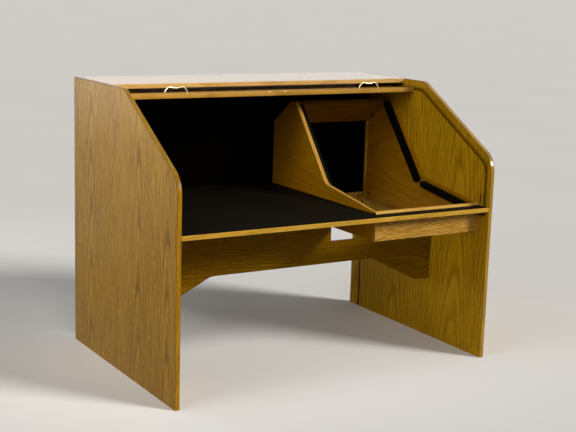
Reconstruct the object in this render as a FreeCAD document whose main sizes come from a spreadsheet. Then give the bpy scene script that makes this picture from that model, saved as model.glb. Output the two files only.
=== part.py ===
import FreeCAD, Part
import math
import os
import re
import Sketcher

# Driving sizes in millimetres; x runs to the right, y to the back, z up from the floor
SIZES = {
    "width": 1520,
    "depth": 1036,
    "height": 1185,
    "board": 19,
    "lipping": 4,
    "top_flat": 530,
    "front_rise": 212,
    "slope_round": 80,
    "corner_round": 100,
    "track_inset": 44,
    "track_front": 35,
    "track_rear": 78,
    "front_bend": 60,
    "top_bend": 80,
    "rear_bend": 55,
    "groove_depth": 8,
    "slide_fit": 0.05,
    "slide_play": 2.4,
    "slat_width": 24,
    "slat_gap": 0.5,
    "slat_thickness": 8,
    "slat_end_play": 1,
    "cloth_thickness": 0.6,
    "rail_depth": 60,
    "rail_thickness": 19,
    "rail_sink": 11.5,
    "rail_lead": 81,
    "rail_round": 3,
    "rail_end_play": 1,
    "rail_landing": 2,
    "pull_inset": 253,
    "pull_setback": 10,
    "pull_span": 102,
    "pull_leg": 12,
    "pull_grip": 68,
    "pull_rise": 29,
    "pull_dip": 6,
    "pull_wire": 5.5,
    "pull_leg_round": 14,
    "pull_round": 8,
    "pull_wave_round": 60,
    "latch_setback": 57,
    "latch_rise": 5,
    "latch_width": 10,
    "latch_height": 46,
    "stay_hole": 6,
    "stay_back": 588,
    "stay_drop": 170,
    "top_depth": 379,
    "worktop_height": 680,
    "worktop_setback": 2,
    "laminate": 0.8,
    "back_inset": 98,
    "back_thickness": 9,
    "back_tail": 120,
    "back_drop": 105,
    "stretcher_setback": 393,
    "foot_length": 81,
    "foot_depth": 125,
    "arch_run": 250,
    "arch_depth": 96,
    "arch_round": 80,
    "step_gap": 4,
    "step_clear": 67,
    "step_round": 15,
    "well_width": 553,
    "well_sink": 115,
    "well_setback": 68,
    "well_inset": 116,
    "crest_drop": 105,
    "hood_drop": 107,
    "crest_rear": 265,
    "crest_front": 303,
    "knee_back": 461,
    "knee_rise": 64,
    "knee_round": 70,
    "lip_rise": 6,
    "floor_thickness": 6,
    "rear_rail_height": 30,
    "rear_rail_thickness": 12,
    "post_width": 8,
    "post_thickness": 10,
    "bolt_hole": 8,
    "bolt_inset": 36,
    "bolt_depth": 12,
    "rail_bolt_inset": 21,
    "rail_bolt_pitch": 24,
    "batten_setback": 10,
    "batten_width": 26,
    "batten_depth": 25,
    "batten_foot": 5,
    "batten_head": 3,
    "batten_heel": 25,
    "batten_reach": 368,
    "cleat": 20,
    "top_cleat": 16,
    "overrun": 5,
}

# Share of a slat's thickness at which its crown starts
SLAT_EDGE_SHARE = 0.7

# Names for sizes worked out from the driving ones
DERIVED = {
    "front": "-depth / 2",
    "rear": "depth / 2",
    "inner": "width / 2 - board",
    "slope_run": "depth - top_flat",
    "slope_drop": "height - worktop_height - front_rise",
    "slope_length": "sqrt(slope_run ^ 2 + slope_drop ^ 2)",
    "slope_cos": "slope_run / slope_length",
    "slope_sin": "slope_drop / slope_length",
    "top_front": "rear - top_depth",
    "top_under": "height - board",
    "track_top": "height - track_inset",
    "rail_front": "top_front - rail_lead",
    "rail_top": "track_top - rail_sink + rail_thickness",
    "pull_offset": "inner - rail_end_play - pull_inset",
    "slat_back": "slat_thickness / 2",
    "slat_reach": "inner + groove_depth - slat_end_play",
    "work_under": "worktop_height - board",
    "work_front": "front + worktop_setback",
    "back_face": "rear - back_inset",
    "back_bottom": "worktop_height - back_tail",
    "back_top": "height - back_drop",
    "stretcher_front": "front + stretcher_setback",
    "stretcher_rear": "stretcher_front + board",
    "foot_half": "inner - foot_length",
    "arch_half": "foot_half - arch_run",
    "well_offset": "inner - well_width",
    "well_bottom": "worktop_height - well_sink",
    "step_left": "well_offset - step_gap",
    "step_height": "well_bottom - step_clear",
    "arch_height": "step_height - arch_depth",
    "foot_height": "arch_height - foot_depth",
    "well_left": "well_offset + board",
    "well_right": "inner - board",
    "well_front": "front + well_setback",
    "well_back": "well_front + board",
    "well_rear": "rear - well_inset",
    "floor_top": "well_bottom + floor_thickness",
    "crest_rear_line": "rear - crest_rear",
    "crest_front_line": "rear - crest_front",
    "crest_height": "height - crest_drop",
    "shoulder_height": "crest_height - hood_drop",
    "knee_line": "front + knee_back",
    "knee_height": "worktop_height + knee_rise",
    "lip_height": "worktop_height + lip_rise",
    "lip_length": "sqrt((knee_line - well_front) ^ 2 + (knee_height - lip_height) ^ 2)",
    "lip_along": "(well_front - knee_line) / lip_length",
    "lip_up": "(lip_height - knee_height) / lip_length",
    "toe_height": "knee_height + (knee_line - well_back) * lip_up / -lip_along",
    "steep_length": "sqrt((crest_front_line - knee_line) ^ 2 + (crest_height - knee_height) ^ 2)",
    "steep_along": "(crest_front_line - knee_line) / steep_length",
    "steep_up": "(crest_height - knee_height) / steep_length",
    "hood_length": "sqrt((well_rear - crest_rear_line) ^ 2 + (crest_height - shoulder_height) ^ 2)",
    "hood_along": "(crest_rear_line - well_rear) / hood_length",
    "hood_up": "(crest_height - shoulder_height) / hood_length",
    "hood_low": "shoulder_height + board * hood_along",
}

# Slats in each stretch of the curtain, from its lead rail to its tail: a strip moves as one piece,
# and the slats between strips move one by one
SLAT_COUNTS = {
    "front_strip_count": 3,
    "front_slat_count": 3,
    "slope_strip_count": 5,
    "middle_slat_count": 3,
    "long_strip_count": 12,
    "upper_slat_count": 2,
    "tail_strip_count": 7,
}

doc = FreeCAD.newDocument("TambourDesk")
sheet = doc.addObject("Spreadsheet::Sheet", "Dims")
for row, (alias, number) in enumerate(SIZES.items(), start=1):
    sheet.set(f"A{row}", alias)
    sheet.set(f"B{row}", str(number))
    sheet.setAlias(f"B{row}", alias)
doc.recompute()
pieces = []


def bound(text):
    """The sum with derived names written out and driving sizes read from the sheet."""
    def swap(match):
        word = match[0]
        if word in DERIVED:
            return f"({bound(DERIVED[word])})"
        return f"Dims.{word}" if word in SIZES else word
    return re.sub("[a-z_]+", swap, text)


def size(text):
    """The present value of a sum of sizes."""
    return float(sheet.evalExpression(bound(text)))


def box(label, x, y, z, kept=True):
    """A straight board between two coordinates along each axis."""
    solid = doc.addObject("Part::Box", label)
    solid.Label = label
    for axis, edge, (low, high) in zip("xyz", ("Length", "Width", "Height"), (x, y, z)):
        solid.setExpression(edge, bound(f"({high}) - ({low})"))
        solid.setExpression(f"Placement.Base.{axis}", bound(low))
    if kept:
        pieces.append(solid)
    return solid


def worktop_layer(label, z):
    """A layer of the worktop, cut away where the monitor well passes through it."""
    low, high = z
    sheet_x, sheet_y = ("-inner", "inner"), ("work_front + lipping", "back_face")
    away_x, away_y = ("well_offset", "inner + overrun"), ("well_front", "back_face + overrun")
    layer = doc.addObject("Part::Cut", label)
    layer.Label = label
    layer.Base = box(label + "_blank", sheet_x, sheet_y, z, kept=False)
    layer.Tool = box(label + "_cut", away_x, away_y, (f"{low} - overrun", f"{high} + overrun"), kept=False)
    pieces.append(layer)


def sketch_on(body, role, name, offset="0"):
    """An empty sketch on one of the body's own planes."""
    sketch = body.newObject("Sketcher::SketchObject", name)
    plane = next(item for item in body.Origin.OriginFeatures if item.Role == role)
    sketch.AttachmentSupport = (plane, [""])
    sketch.MapMode = "FlatFace"
    sketch.setExpression("AttachmentOffset.Base.z", bound(offset))
    return sketch


def pin(sketch, item, end, across, up):
    """Hold one point of an item at its two coordinates; point 1 starts it, 2 ends it, 3 is its centre."""
    for kind, text in (("DistanceX", across), ("DistanceY", up)):
        index = sketch.addConstraint(Sketcher.Constraint(kind, -1, 1, item, end, size(text)))
        sketch.setExpression(f"Constraints[{index}]", bound(text))


def radius(sketch, item, text):
    """Hold the radius of an arc or circle."""
    index = sketch.addConstraint(Sketcher.Constraint("Radius", item, size(text)))
    sketch.setExpression(f"Constraints[{index}]", bound(text))


def circle(sketch, across, up, text):
    """A circle held by its centre and radius."""
    centre = FreeCAD.Vector(size(across), size(up), 0)
    item = sketch.addGeometry(Part.Circle(centre, FreeCAD.Vector(0, 0, 1), size(text)), False)
    pin(sketch, item, 3, across, up)
    radius(sketch, item, text)


def outline(sketch, corners, closed=True):
    """Lines from corner to corner; a corner with a radius is rounded by a tangent arc."""
    spots = [FreeCAD.Vector(size(corner[0]), size(corner[1]), 0) for corner in corners]
    count = len(spots)
    arrive, leave, arcs = list(spots), list(spots), {}
    for i, corner in enumerate(corners):
        if len(corner) < 3:
            continue
        bend = size(corner[2])
        back = (spots[i - 1] - spots[i]).normalize()
        ahead = (spots[(i + 1) % count] - spots[i]).normalize()
        half = back.getAngle(ahead) / 2
        arrive[i] = spots[i] + back * (bend / math.tan(half))
        leave[i] = spots[i] + ahead * (bend / math.tan(half))
        centre = spots[i] + (back + ahead).normalize() * (bend / math.sin(half))
        ends = [math.atan2(spot.y - centre.y, spot.x - centre.x) for spot in (arrive[i], leave[i])]
        left_turn = ahead.cross(back).z > 0
        low, high = ends if left_turn else reversed(ends)
        if high < low:
            high += 2 * math.pi
        ring = Part.Circle(centre, FreeCAD.Vector(0, 0, 1), bend)
        item = sketch.addGeometry(Part.ArcOfCircle(ring, low, high), False)
        arcs[i] = (item, 1, 2) if left_turn else (item, 2, 1)
    lines = []
    for i in range(count if closed else count - 1):
        run = Part.LineSegment(leave[i], arrive[(i + 1) % count])
        lines.append(sketch.addGeometry(run, False))
    for i, corner in enumerate(corners):
        if not closed and i == count - 1:
            pin(sketch, lines[-1], 2, corner[0], corner[1])
        elif not closed and i == 0:
            pin(sketch, lines[0], 1, corner[0], corner[1])
        elif i in arcs:
            item, first, last = arcs[i]
            sketch.addConstraint(Sketcher.Constraint("Tangent", lines[i - 1], 2, item, first))
            sketch.addConstraint(Sketcher.Constraint("Tangent", item, last, lines[i], 1))
            radius(sketch, item, corner[2])
            mark = sketch.addGeometry(Part.Point(spots[i]), True)
            sketch.addConstraint(Sketcher.Constraint("PointOnObject", mark, 1, lines[i - 1]))
            sketch.addConstraint(Sketcher.Constraint("PointOnObject", mark, 1, lines[i]))
            pin(sketch, mark, 1, corner[0], corner[1])
        else:
            sketch.addConstraint(Sketcher.Constraint("Coincident", lines[i - 1], 2, lines[i], 1))
            pin(sketch, lines[i], 1, corner[0], corner[1])


def new_body(label, place):
    """A body that stands at a place."""
    body = doc.addObject("PartDesign::Body", label)
    body.Label = label
    for axis, text in zip("xyz", place):
        body.setExpression(f"Placement.Base.{axis}", bound(text))
    pieces.append(body)
    return body


def plate(label, role, corners, thickness, place):
    """A board cut to an outline and raised to its thickness."""
    body = new_body(label, place)
    profile = sketch_on(body, role, label + "_profile")
    outline(profile, corners)
    pad = body.newObject("PartDesign::Pad", label + "_pad")
    pad.Profile = profile
    pad.setExpression("Length", bound(thickness))
    return body


def sink(body, sketch, depth, toward_normal=False):
    """Cut a sketch into a body to a depth and make sure that it took wood away."""
    doc.recompute()
    before = body.Shape.Volume
    pocket = body.newObject("PartDesign::Pocket", sketch.Name + "_cut")
    pocket.Profile = sketch
    pocket.Reversed = toward_normal
    pocket.setExpression("Length", bound(depth))
    doc.recompute()
    if body.Shape.Volume >= before:
        raise RuntimeError(f"{sketch.Name} cuts nothing")


def shoulder(inset):
    """Depth at which the top line and the slope line, both set in, meet."""
    return f"front + slope_run + ({inset}) * (1 - slope_cos) / slope_sin"


def chin(inset, front_inset):
    """Height at which the slope line and the front line, both set in, meet."""
    return f"height - (({inset}) + (slope_run - ({front_inset})) * slope_sin) / slope_cos"


def wall(inward, bend_extra):
    """One wall of the tambour groove, from the worktop over the top to below the floor line."""
    front_line = f"front + track_front + {inward}"
    rear_line = f"rear - track_rear - ({inward})"
    top_line = f"track_top - ({inward})"
    inset = f"track_inset + {inward}"
    return [
        (front_line, "worktop_height"),
        (front_line, chin(inset, f"track_front + {inward}"), f"front_bend + {bend_extra}"),
        (shoulder(inset), top_line, f"top_bend + {bend_extra}"),
        (rear_line, top_line, f"rear_bend + {bend_extra}"),
        (rear_line, "-overrun"),
    ]


def side_panel(side, place, offset, toward_normal):
    """A side panel with the tambour groove, a latch slot and a stay hole in its inner face."""
    label = f"{side}_side_panel"
    body = plate(label, "YZ_Plane", [
        ("rear", "0"),
        ("rear", "height - lipping"),
        (shoulder("lipping"), "height - lipping", "slope_round - lipping"),
        ("front + lipping", chin("lipping", "lipping"), "corner_round - lipping"),
        ("front + lipping", "0"),
    ], "board", (place, "0", "0"))
    groove = sketch_on(body, "YZ_Plane", f"{side}_groove", offset)
    outer = wall("-(slat_back + slide_play)", "slat_thickness + slide_play")
    inner = wall("slat_back + slide_fit", "-slide_fit")
    outline(groove, outer + inner[::-1])
    sink(body, groove, "groove_depth", toward_normal)
    latch = sketch_on(body, "YZ_Plane", f"{side}_latch_slot", offset)
    near, low = "front + latch_setback", "worktop_height + latch_rise"
    far, high = near + " + latch_width", low + " + latch_height"
    outline(latch, [(near, low), (far, low), (far, high), (near, high)])
    sink(body, latch, "groove_depth", toward_normal)
    stay = sketch_on(body, "YZ_Plane", f"{side}_stay_hole", offset)
    circle(stay, "front + stay_back", "height - stay_drop", "stay_hole / 2")
    sink(body, stay, "groove_depth", toward_normal)


def edge_lipping(side, place):
    """The strip glued along the top, slope and front edges of a side panel."""
    plate(f"{side}_edge_lipping", "YZ_Plane", [
        ("rear", "height - lipping"),
        ("rear", "height"),
        ("front + slope_run", "height", "slope_round"),
        ("front", "height - slope_drop", "corner_round"),
        ("front", "0"),
        ("front + lipping", "0"),
        ("front + lipping", chin("lipping", "lipping"), "corner_round - lipping"),
        (shoulder("lipping"), "height - lipping", "slope_round - lipping"),
    ], "board", (place, "0", "0"))


def well_side(side, place, offset, toward_normal):
    """A partition of the monitor well with bolt holes in its inner face."""
    label = f"well_{side}_partition"
    body = plate(label, "YZ_Plane", [
        ("well_rear", "well_bottom"),
        ("well_rear", "shoulder_height"),
        ("crest_rear_line", "crest_height"),
        ("crest_front_line", "crest_height"),
        ("knee_line", "knee_height", "knee_round"),
        ("well_back", "toe_height"),
        ("well_back", "well_bottom"),
    ], "board", (place, "0", "0"))
    bolts = sketch_on(body, "YZ_Plane", f"{label}_bolts", offset)
    circle(bolts, "well_rear - bolt_inset", "shoulder_height - bolt_inset", "bolt_hole / 2")
    circle(bolts, "well_rear - bolt_inset", "well_bottom + bolt_inset", "bolt_hole / 2")
    sink(body, bolts, "bolt_depth", toward_normal)


def battens(side, place):
    """The two black strips on a partition, set in from its steep and its shallow edge."""
    near, far = "batten_setback", "batten_setback + batten_width"

    def steep(along, into):
        return (f"knee_line + ({along}) * steep_along + ({into}) * steep_up",
                f"knee_height + ({along}) * steep_up - ({into}) * steep_along")

    def shallow(along, into):
        return (f"knee_line + ({along}) * lip_along - ({into}) * lip_up",
                f"knee_height + ({along}) * lip_up + ({into}) * lip_along")

    runs = (
        ("upper", steep, "-batten_foot", "steep_length - batten_head"),
        ("lower", shallow, "batten_heel", "batten_reach"),
    )
    for level, spot, start, end in runs:
        corners = [spot(start, near), spot(end, near), spot(end, far), spot(start, far)]
        plate(f"well_{side}_{level}_batten", "YZ_Plane", corners, "batten_depth", (place, "0", "0"))


def pull(side, place):
    """A bent wire pull on the lead rail: upright legs, shoulders that lean in, and a grip that dips."""
    body = new_body(f"{side}_pull", (place, "rail_front + pull_setback", "rail_top"))
    path = sketch_on(body, "XZ_Plane", f"{side}_pull_path")
    foot, grip = "pull_span / 2", "pull_grip / 2"
    left = [
        (f"-{foot}", "0"),
        (f"-{foot}", "pull_leg", "pull_leg_round"),
        (f"-{grip}", "pull_rise", "pull_round"),
    ]
    right = [(corner[0][1:],) + corner[1:] for corner in reversed(left)]
    middle = ("0", "pull_rise - pull_dip", "pull_wave_round")
    outline(path, left + [middle] + right, closed=False)
    section = sketch_on(body, "XY_Plane", f"{side}_pull_section")
    circle(section, f"-{foot}", "0", "pull_wire / 2")
    doc.recompute()
    wire = body.newObject("PartDesign::AdditivePipe", f"{side}_pull_wire")
    wire.Profile = section
    wire.Spine = (path, [f"Edge{i}" for i in range(1, len(path.Shape.Edges) + 1)])


def station(run):
    """Place on the back line of the curtain, at a run from its closed lead edge."""
    inset, front_inset = "track_inset + slat_back", "track_front + slat_back"
    front_line, rear_line = size(f"front + {front_inset}"), size("rear - track_rear - slat_back")
    top_line = size(f"height - ({inset})")
    spots = [
        (front_line, size("worktop_height + rail_landing")),
        (front_line, size(chin(inset, front_inset))),
        (size(shoulder(inset)), top_line),
        (rear_line, top_line),
        (rear_line, 0),
    ]
    bends = [0, size("front_bend"), size("top_bend"), size("rear_bend"), 0]
    headings = [math.atan2(b[1] - a[1], b[0] - a[0]) for a, b in zip(spots, spots[1:])]
    turns = [0] + [a - b for a, b in zip(headings, headings[1:])] + [0]
    cuts = [bend * math.tan(turn / 2) for bend, turn in zip(bends, turns)]
    for i, heading in enumerate(headings):
        along, up = math.cos(heading), math.sin(heading)
        straight = math.dist(spots[i], spots[i + 1]) - cuts[i] - cuts[i + 1]
        if run <= straight or i == len(headings) - 1:
            run += cuts[i]
            return spots[i][0] + along * run, spots[i][1] + up * run, heading
        run -= straight
        bend = bends[i + 1]
        if run <= bend * turns[i + 1]:
            turned = heading - run / bend
            across = spots[i + 1][0] - along * cuts[i + 1] + bend * (up - math.sin(turned))
            level = spots[i + 1][1] - up * cuts[i + 1] - bend * (along - math.cos(turned))
            return across, level, turned
        run -= bend * turns[i + 1]


def open_run():
    """Run of the lead edge when the curtain is open, found by halving."""
    low, high = 0, size("depth + height")
    target = size("rail_front")
    while high - low > size("slide_fit / height"):
        middle = (low + high) / 2
        across, level, heading = station(middle)
        short = heading > 0 or across < target and heading == 0
        low, high = (middle, high) if short else (low, middle)
    return low


def seat(run):
    """Position of a slat whose middle lies at a run along the track."""
    across, level, heading = station(run)
    turn = FreeCAD.Rotation(FreeCAD.Vector(1, 0, 0), math.degrees(heading))
    return FreeCAD.Placement(FreeCAD.Vector(0, across, level), turn)


def slat():
    """A slat with a flat back and a crowned face, its ends running in the grooves."""
    half, top, reach = size("slat_width / 2"), size("slat_thickness"), size("slat_reach")
    edge = top * SLAT_EDGE_SHARE
    spots = [(-half, edge), (-half, 0), (half, 0), (half, edge)]
    foot = [FreeCAD.Vector(-reach, across, up) for across, up in spots]
    crown = Part.Arc(foot[3], FreeCAD.Vector(-reach, 0, top), foot[0]).toShape()
    profile = Part.Face(Part.Wire(Part.makePolygon(foot).Edges + [crown]))
    return profile.extrude(FreeCAD.Vector(2 * reach, 0, 0))


def cloth():
    """The stretch of cloth behind one slat, which laps a little on the next."""
    reach, deep = size("inner - slat_end_play"), size("cloth_thickness")
    run = size("slat_width + slat_gap + cloth_thickness / 2")
    corner = FreeCAD.Vector(-reach, -run / 2, -deep)
    return Part.makeBox(2 * reach, run, deep, corner)


def laid(label, form, seats, joined=False):
    """A piece with one copy of a form at each seat, joined into one solid or left separate."""
    copies = [form.copy() for place in seats]
    for shape, place in zip(copies, seats):
        shape.Placement = seats[0].inverse() * place
    whole = copies[0].fuse(copies[1:]).removeSplitter() if joined else Part.makeCompound(copies)
    piece = doc.addObject("Part::Feature", label)
    piece.Label = label
    piece.Shape = whole
    piece.Placement = seats[0]
    pieces.append(piece)


def curtain():
    """The slats along the open track, in strips and singles, with cloth behind the strips."""
    pitch = size("slat_width + slat_gap")
    run = open_run() + size("rail_depth + slat_gap + slat_width / 2")
    for name, count in SLAT_COUNTS.items():
        label = "tambour_" + name.removesuffix("_count")
        seats = [seat(run + i * pitch) for i in range(count)]
        run += count * pitch
        if label.endswith("slat"):
            for i, place in enumerate(seats, start=1):
                laid(f"{label}_{i}", slat(), [place])
        else:
            laid(label, slat(), seats)
            laid(label.replace("strip", "cloth"), cloth(), seats, joined=True)


# Case: side panels, lippings, top, worktop, back
side_panel("left", "-width / 2", "board", False)
side_panel("right", "inner", "0", True)
edge_lipping("left", "-width / 2")
edge_lipping("right", "inner")
case_x = ("-inner", "inner")
box("top_panel", case_x, ("top_front + lipping", "rear"), ("top_under", "height"))
box("top_front_lipping", case_x, ("top_front", "top_front + lipping"), ("top_under", "height"))
worktop_layer("worktop_core", ("work_under", "worktop_height - laminate"))
worktop_layer("worktop_laminate", ("worktop_height - laminate", "worktop_height"))
box("worktop_front_lipping", case_x, ("work_front", "work_front + lipping"), ("work_under", "worktop_height"))
box("inner_back", case_x, ("back_face", "back_face + back_thickness"), ("back_bottom", "back_top"))

# Stretcher, arched below and stepped down under the well
plate("stretcher", "XZ_Plane", [
    ("-inner", "work_under"),
    ("step_left", "work_under"),
    ("step_left", "step_height", "step_round"),
    ("inner", "step_height"),
    ("inner", "foot_height"),
    ("foot_half", "foot_height", "arch_round"),
    ("arch_half", "arch_height", "arch_round"),
    ("-arch_half", "arch_height", "arch_round"),
    ("-foot_half", "foot_height", "arch_round"),
    ("-inner", "foot_height"),
], "board", ("0", "stretcher_rear", "0"))

# Monitor well, which passes through the worktop
well_side("left", "well_offset", "board", False)
well_side("right", "well_right", "0", True)
plate("well_front_panel", "YZ_Plane", [
    ("well_front", "well_bottom"),
    ("well_front", "lip_height"),
    ("well_back", "toe_height"),
    ("well_back", "well_bottom"),
], "inner - well_offset", ("well_offset", "0", "0"))
well_x = ("well_left", "well_right")
box("well_floor", well_x, ("well_back", "well_rear"), ("well_bottom", "floor_top"))
plate("well_hood", "YZ_Plane", [
    ("well_rear", "shoulder_height"),
    ("crest_rear_line", "crest_height"),
    ("crest_rear_line - board * hood_up", "crest_height + board * hood_along"),
    ("well_rear - board * hood_up", "hood_low"),
], "well_right - well_left", ("well_left", "0", "0"))
rear_rail = plate("well_rear_rail", "XZ_Plane", [
    ("well_left", "floor_top"),
    ("well_right", "floor_top"),
    ("well_right", "floor_top + rear_rail_height"),
    ("well_left", "floor_top + rear_rail_height"),
], "rear_rail_thickness", ("0", "well_rear", "0"))
rail_bolts = sketch_on(rear_rail, "XZ_Plane", "well_rear_rail_bolts", "rear_rail_thickness")
for bolt_line in ("rail_bolt_inset", "rail_bolt_inset + rail_bolt_pitch"):
    circle(rail_bolts, f"well_right - ({bolt_line})", "floor_top + rear_rail_height / 2", "bolt_hole / 2")
sink(rear_rail, rail_bolts, "rear_rail_thickness + overrun")
post_y = ("well_rear - post_width", "well_rear")
post_z = ("floor_top + rear_rail_height", "hood_low")
box("well_left_rear_post", ("well_left", "well_left + post_thickness"), post_y, post_z)
box("well_right_rear_post", ("well_right - post_thickness", "well_right"), post_y, post_z)
battens("left", "well_left")
battens("right", "well_right - batten_depth")

# Cleats in the corners between boards and side panels
left_x, right_x = ("-inner", "cleat - inner"), ("inner - cleat", "inner")
work_z = ("work_under - cleat", "work_under")
box("worktop_rear_cleat", left_x, ("stretcher_rear", "back_face"), work_z)
box("worktop_left_cleat", left_x, ("work_front + cleat", "stretcher_front"), work_z)
box("worktop_right_cleat", right_x, ("work_front + cleat", "well_front"), work_z)
for side, side_x in (("left", left_x), ("right", right_x)):
    box(f"stretcher_{side}_cleat", side_x, ("stretcher_rear", "stretcher_rear + cleat"),
        ("foot_height + cleat", "step_height - cleat"))
    box(f"top_{side}_cleat", side_x, ("top_front + cleat", "rear - cleat"),
        ("top_under - top_cleat", "top_under"))

# Tambour: lead rail with its pulls, then the slats on their cloth
rail_low = "track_top - rail_sink"
plate("tambour_lead_rail", "YZ_Plane", [
    ("rail_front", rail_low, "rail_round"),
    ("rail_front", "rail_top", "rail_round"),
    ("rail_front + rail_depth", "rail_top", "rail_round"),
    ("rail_front + rail_depth", rail_low, "rail_round"),
], "2 * (inner - rail_end_play)", ("rail_end_play - inner", "0", "0"))
pull("left", "-pull_offset")
pull("right", "pull_offset")
curtain()

doc.recompute()
for item in doc.Objects:
    if "Invalid" in item.State or "Error" in item.State:
        raise RuntimeError(f"{item.Label} did not build")
os.makedirs("parts", exist_ok=True)
for piece in pieces:
    if piece.Shape.isNull() or not piece.Shape.isValid():
        raise RuntimeError(f"{piece.Label} has no sound shape")
    piece.Shape.exportStep(f"parts/{piece.Label}.step")
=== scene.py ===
"""Looks of the tambour desk: lacquered oak, black laminate, brass pulls, canvas and fastenings.

Everything is in metres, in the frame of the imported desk: x to the right, y to the back, z up from the floor.
"""
import math

import bmesh
import bpy
import numpy as np
from mathutils import Matrix, Vector


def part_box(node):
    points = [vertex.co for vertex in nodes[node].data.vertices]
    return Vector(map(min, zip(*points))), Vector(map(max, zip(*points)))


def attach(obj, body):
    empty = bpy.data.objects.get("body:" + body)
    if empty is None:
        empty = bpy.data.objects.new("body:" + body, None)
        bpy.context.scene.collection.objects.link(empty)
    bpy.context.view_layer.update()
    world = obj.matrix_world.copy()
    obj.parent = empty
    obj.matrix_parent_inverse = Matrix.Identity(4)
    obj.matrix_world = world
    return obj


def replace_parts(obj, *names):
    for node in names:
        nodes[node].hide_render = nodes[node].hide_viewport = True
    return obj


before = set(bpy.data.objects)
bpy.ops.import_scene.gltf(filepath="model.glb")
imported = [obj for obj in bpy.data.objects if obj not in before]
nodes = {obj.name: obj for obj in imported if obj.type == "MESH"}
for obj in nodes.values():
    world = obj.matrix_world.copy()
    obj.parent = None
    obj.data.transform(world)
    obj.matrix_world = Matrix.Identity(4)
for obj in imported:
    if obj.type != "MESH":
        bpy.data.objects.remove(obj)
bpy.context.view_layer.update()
scene = bpy.context.scene

# Oak tones from the palest fibre to the open pores, as linear red, green and blue
PANEL_TONES = ((0.55, 0.300, 0.022), (0.42, 0.212, 0.005), (0.180, 0.080, 0.001))
RIGHT_TONES = ((0.62, 0.355, 0.012), (0.48, 0.262, 0.004), (0.210, 0.100, 0.001))
TOP_TONES = ((0.58, 0.36, 0.10), (0.46, 0.265, 0.050), (0.24, 0.120, 0.015))
EDGE_TONES = ((0.40, 0.202, 0.006), (0.31, 0.150, 0.003), (0.17, 0.074, 0.002))
RIGHT_EDGE_TONES = ((0.40, 0.232, 0.010), (0.31, 0.172, 0.004), (0.17, 0.082, 0.002))
RAIL_TONES = ((0.50, 0.278, 0.056), (0.40, 0.212, 0.032), (0.23, 0.104, 0.010))
LIP_TONES = ((0.62, 0.385, 0.150), (0.53, 0.310, 0.095), (0.33, 0.170, 0.035))
WORK_LIP_TONES = ((0.60, 0.350, 0.054), (0.48, 0.268, 0.031), (0.276, 0.130, 0.009))
# Well lip tones: partly paler edge wood, partly a painted highlight
WELL_LIP_EDGE_AND_HIGHLIGHT_TONES = ((0.78, 0.470, 0.125), (0.67, 0.378, 0.080), (0.42, 0.207, 0.030))
WELL_TONES = ((0.43, 0.208, 0.004), (0.35, 0.160, 0.002), (0.187, 0.075, 0.001))
# Hood tones darkened as painted shade
HOOD_SHADED_TONES = ((0.26, 0.120, 0.003), (0.20, 0.088, 0.002), (0.11, 0.043, 0.001))
# Stretcher tones darkened as painted shade
STRETCHER_SHADED_TONES = ((0.26, 0.133, 0.003), (0.187, 0.090, 0.001), (0.096, 0.043, 0.001))
SLAT_TONES = ((0.47, 0.265, 0.040), (0.36, 0.190, 0.016), (0.165, 0.075, 0.004))
POST_TONES = ((0.46, 0.275, 0.060), (0.33, 0.180, 0.024), (0.15, 0.070, 0.006))

# Sizes of the oak's figure, across and along the grain
RING = 0.0105
BROAD_RING = 0.019
PORE = (0.0014, 0.040)
TICK = (0.0045, 0.030)
STREAK = (0.0105, 0.140)
FIBRE = (0.0007, 0.055)
PATCH = (0.21, 0.75)
WANDER = (0.10, 0.42)
WANDER_DEPTH = 0.026

# Groove of the side panels, darkened by painted shade and by wax and wear, and the lines of its track as depth
# and height
GROOVE_SHADE_AND_WAX_TONE = (0.24, 0.112, 0.003)
PANEL_FACE, GROOVE_DEPTH = 0.741, 0.008
TRACK_FRONT, TRACK_TOP, TRACK_REAR = -0.483, 1.141, 0.440
SLOPE_FOOT, SLOPE_OUT, TRACK_INSET = (-0.518, 0.892), (-0.5011, 0.8654), 0.044
TRACK_MIDDLE, SHADE_WEAR_NEAR, SHADE_WEAR_FAR = 0.0050, 0.0060, 0.0140
FRONT_BEND, TOP_BEND, REAR_BEND = 0.032, 0.011, 0.064
GROOVE_FLOOR = GROOVE_DEPTH + 0.001
SLOT_REACH, SLOT_FOOT = 0.51, 0.003
WORKTOP = 0.680

# Corners of the side panels' outline, as depth, height and radius, and the rounding of its lipping
SIDE_CORNERS = ((0.518, 1.185, 0.0), (-0.012, 1.185, 0.080), (-0.518, 0.892, 0.100), (-0.518, 0.0, 0.0))
LIPPING, ARRIS, RAIL_ARRIS = 0.004, 0.0016, 0.003
# Height above which a lipping's upper runs get painted shade
LIPPING_SHADE_HEIGHT = 0.868

# Corners of the partitions' front edge, the strip that covers it, and the rims of the well's floor
PARTITION_CORNERS = ((0.215, 1.080, 0.0), (-0.057, 0.744, 0.070), (-0.431, 0.6888, 0.0))
BANDING, BAND_SEAT = 0.0007, 0.0002
FLOOR_RIMS = (0.002, 0.004, 0.019, 0.012)

# Pull: corners of half its wire as reach, height and radius, and the corner at its middle
PULL_HALF = ((0.051, 0.0, 0.0), (0.051, 0.012, 0.014), (0.034, 0.029, 0.008))
PULL_MIDDLE = (0.0, 0.023, 0.060)

# Tambour: its straight stretches, its slats, the share of a pitch where a joint starts and ends, its canvas
STRETCHES = ("front", "slope", "long", "tail")
SLAT_PITCH = 0.0245
SLAT_JOINT = (0.40, 0.47)
CANVAS_THICKNESS = 0.0006
CANVAS_DENT = 0.0001

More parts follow.
